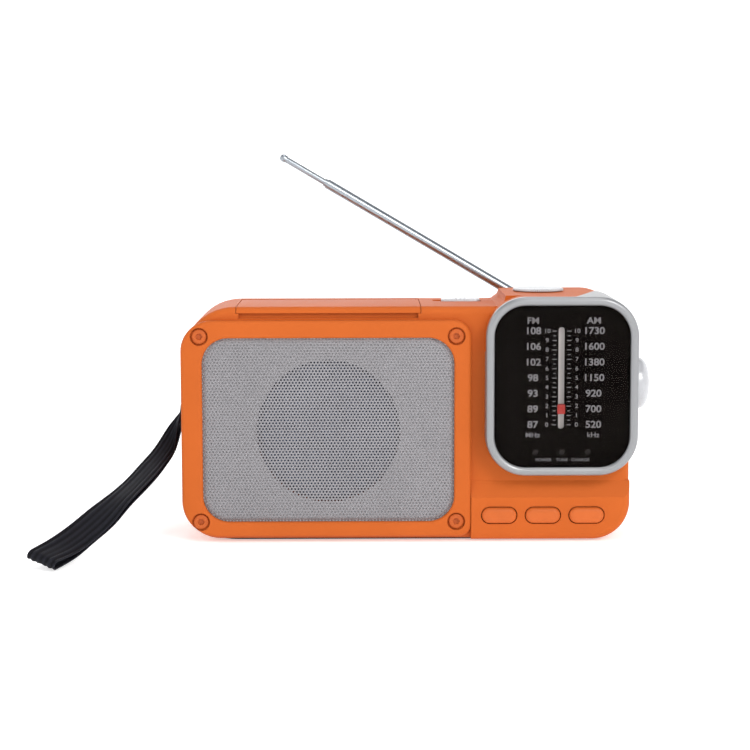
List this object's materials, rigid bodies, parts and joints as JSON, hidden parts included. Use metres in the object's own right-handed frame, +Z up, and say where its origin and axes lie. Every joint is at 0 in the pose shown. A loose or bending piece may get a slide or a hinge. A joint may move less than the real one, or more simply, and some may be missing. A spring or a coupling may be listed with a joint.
{
  "type": "emergency radio",
  "caption": "Handheld emergency radio with round speaker grille, framed tuning dial, telescopic whip, flip lid, hand crank and wrist strap.",
  "frame": {"origin": "centre of the footprint's width on the plane that the rubber ring stands on", "axes": "+X to the right seen from the dial, +Y to the rear, +Z up"},
  "size_m": [0.2082, 0.0941, 0.1335],
  "materials": {
    "orange_shell": "fine satin moulded texture",
    "orange_button": "satin",
    "orange_screw": "satin paint",
    "grille_mesh": "perforated, satin",
    "grey_backing": "felt",
    "speaker_steel": "zinc plated",
    "speaker_paper": "pressed paper",
    "copper": "wound wire",
    "silver_case": "satin silver",
    "dial_glass": "polished",
    "dial_print": "black with white print",
    "white_plastic": "translucent white",
    "red_pointer": "bright red",
    "bright_metal": "polished",
    "steel": "bright",
    "circuit_board": "solder mask",
    "black_plastic": "moulded",
    "gear_plastic": "acetal",
    "dark_screw": "black oxide",
    "solar_cell": "laminated cells",
    "battery_wrap": "shrink wrap",
    "rubber": "soft",
    "webbing": "ribbed nylon"
  },
  "bodies": {
    "housing": {"front_shell": "orange_shell", "rear_shell": "orange_shell", "grille_frame": "orange_shell", "battery_door": "orange_shell", "frame_screws": "orange_screw", "speaker_grille": "grille_mesh", "grille_backing": "grey_backing", "speaker_basket": "speaker_steel", "speaker_magnet": "speaker_steel", "speaker_cone": "speaker_paper", "voice_coil": "copper", "dial_case": "silver_case", "dial_glass": "dial_glass", "dial_plate": "dial_print", "light_guide": "white_plastic", "dial_cord": "white_plastic", "lamp_lens": "white_plastic", "indicator_leds": "white_plastic", "lid_pin": "steel", "strap_bar": "steel", "pulley_bracket": "steel", "gear_plate": "steel", "dynamo_case": "steel", "tuning_capacitor": "steel", "main_board": "circuit_board", "key_board": "circuit_board", "indicator_board": "circuit_board", "lamp_board": "circuit_board", "board_parts": "black_plastic", "key_switches": "black_plastic", "volume_pot": "black_plastic", "band_switch": "black_plastic", "earphone_jack": "black_plastic", "case_screws": "dark_screw", "battery": "battery_wrap", "foot_ring": "rubber", "strap": "webbing"},
    "left_button_body": {"left_button": "orange_button"},
    "middle_button_body": {"middle_button": "orange_button"},
    "right_button_body": {"right_button": "orange_button"},
    "tuning": {"tuning_knob": "silver_case", "tuning_shaft": "steel"},
    "dial_pointer": {"pointer": "red_pointer", "pointer_carriage": "white_plastic"},
    "pulley_top": {"upper_pulley": "white_plastic"},
    "pulley_bottom": {"lower_pulley": "white_plastic"},
    "volume": {"volume_knob": "silver_case"},
    "band": {"band_slider": "silver_case"},
    "lid_body": {"lid": "orange_shell", "solar_panel": "solar_cell"},
    "whip_base": {"antenna_base": "bright_metal"},
    "whip_tube": {"antenna_tube": "bright_metal"},
    "whip_middle": {"antenna_middle": "bright_metal"},
    "whip_tip": {"antenna_tip": "bright_metal"},
    "crank": {"crank_arm": "black_plastic", "crank_gear": "gear_plastic"},
    "handle": {"crank_handle": "black_plastic"},
    "idler": {"idler_gear": "gear_plastic"},
    "rotor": {"dynamo_rotor": "copper"},
    "port_flap": {"port_cover": "rubber"}
  },
  "joints": [
    {"name": "left_button_press", "type": "slide", "parent": "housing", "child": "left_button_body", "axis": [0, 1, 0], "range_m": [0, 0.0008], "stiffness_N_per_m": 400},
    {"name": "middle_button_press", "type": "slide", "parent": "housing", "child": "middle_button_body", "axis": [0, 1, 0], "range_m": [0, 0.0008], "stiffness_N_per_m": 400},
    {"name": "right_button_press", "type": "slide", "parent": "housing", "child": "right_button_body", "axis": [0, 1, 0], "range_m": [0, 0.0008], "stiffness_N_per_m": 400},
    {"name": "tuning_turn", "type": "hinge", "parent": "housing", "child": "tuning", "pos_m": [0.062, -0.01, 0.0538], "axis": [1, 0, 0], "range_deg": [-47, 250]},
    {"name": "pointer_travel", "type": "slide", "parent": "housing", "child": "dial_pointer", "axis": [0, 0, 1], "range_m": [-0.005, 0.0263]},
    {"name": "upper_pulley_turn", "type": "hinge", "parent": "housing", "child": "pulley_top", "pos_m": [0.062, -0.016, 0.079], "axis": [1, 0, 0], "range_deg": [-715, 135]},
    {"name": "lower_pulley_turn", "type": "hinge", "parent": "housing", "child": "pulley_bottom", "pos_m": [0.062, -0.016, 0.0365], "axis": [1, 0, 0], "range_deg": [-715, 135]},
    {"name": "volume_turn", "type": "hinge", "parent": "housing", "child": "volume", "pos_m": [0.0473, 0.002, 0.0853], "axis": [0, 0, 1], "range_deg": [-135, 135]},
    {"name": "band_select", "type": "slide", "parent": "housing", "child": "band", "axis": [1, 0, 0], "range_m": [-0.0028, 0]},
    {"name": "lid_open", "type": "hinge", "parent": "housing", "child": "lid_body", "pos_m": [-0.0266, 0.014, 0.0786], "axis": [-1, 0, 0], "range_deg": [0, 90]},
    {"name": "antenna_swing", "type": "hinge", "parent": "housing", "child": "whip_base", "pos_m": [0.046, 0.022, 0.0795], "axis": [0, 1, 0], "range_deg": [-30, 84]},
    {"name": "antenna_tilt", "type": "hinge", "parent": "whip_base", "child": "whip_tube", "pos_m": [0.046, 0.022, 0.0795], "axis": [-0.5075, 0, -0.8616], "range_deg": [0, 90]},
    {"name": "antenna_middle_slide", "type": "slide", "parent": "whip_tube", "child": "whip_middle", "axis": [-0.8616, 0, 0.5075], "range_m": [0, 0.06]},
    {"name": "antenna_tip_slide", "type": "slide", "parent": "whip_middle", "child": "whip_tip", "axis": [-0.8616, 0, 0.5075], "range_m": [-0.0145, 0.045]},
    {"name": "crank_turn", "type": "hinge", "parent": "housing", "child": "crank", "pos_m": [-0.03, 0.018, 0.044], "axis": [0, 1, 0], "continuous": true},
    {"name": "handle_fold", "type": "hinge", "parent": "crank", "child": "handle", "pos_m": [-0.052, 0.0213, 0.044], "axis": [0, 0, 1], "range_deg": [0, 90]},
    {"name": "idler_turn", "type": "hinge", "parent": "housing", "child": "idler", "pos_m": [-0.00839, 0.008, 0.05187], "axis": [0, 1, 0], "continuous": true},
    {"name": "rotor_turn", "type": "hinge", "parent": "housing", "child": "rotor", "pos_m": [0.0074, 0.005, 0.05761], "axis": [0, 1, 0], "continuous": true},
    {"name": "port_cover_open", "type": "hinge", "parent": "housing", "child": "port_flap", "pos_m": [-0.07745, -0.0003, 0.022], "axis": [0, 0, -1], "range_deg": [0, 100]}
  ],
  "couplings": [
    {"joint": "pointer_travel", "follows": "tuning_turn", "m_per_rad": 0.006},
    {"joint": "upper_pulley_turn", "follows": "tuning_turn", "ratio": -2.857},
    {"joint": "lower_pulley_turn", "follows": "tuning_turn", "ratio": -2.857},
    {"joint": "idler_turn", "follows": "crank_turn", "ratio": -3.6},
    {"joint": "rotor_turn", "follows": "crank_turn", "ratio": 11.52}
  ]
}
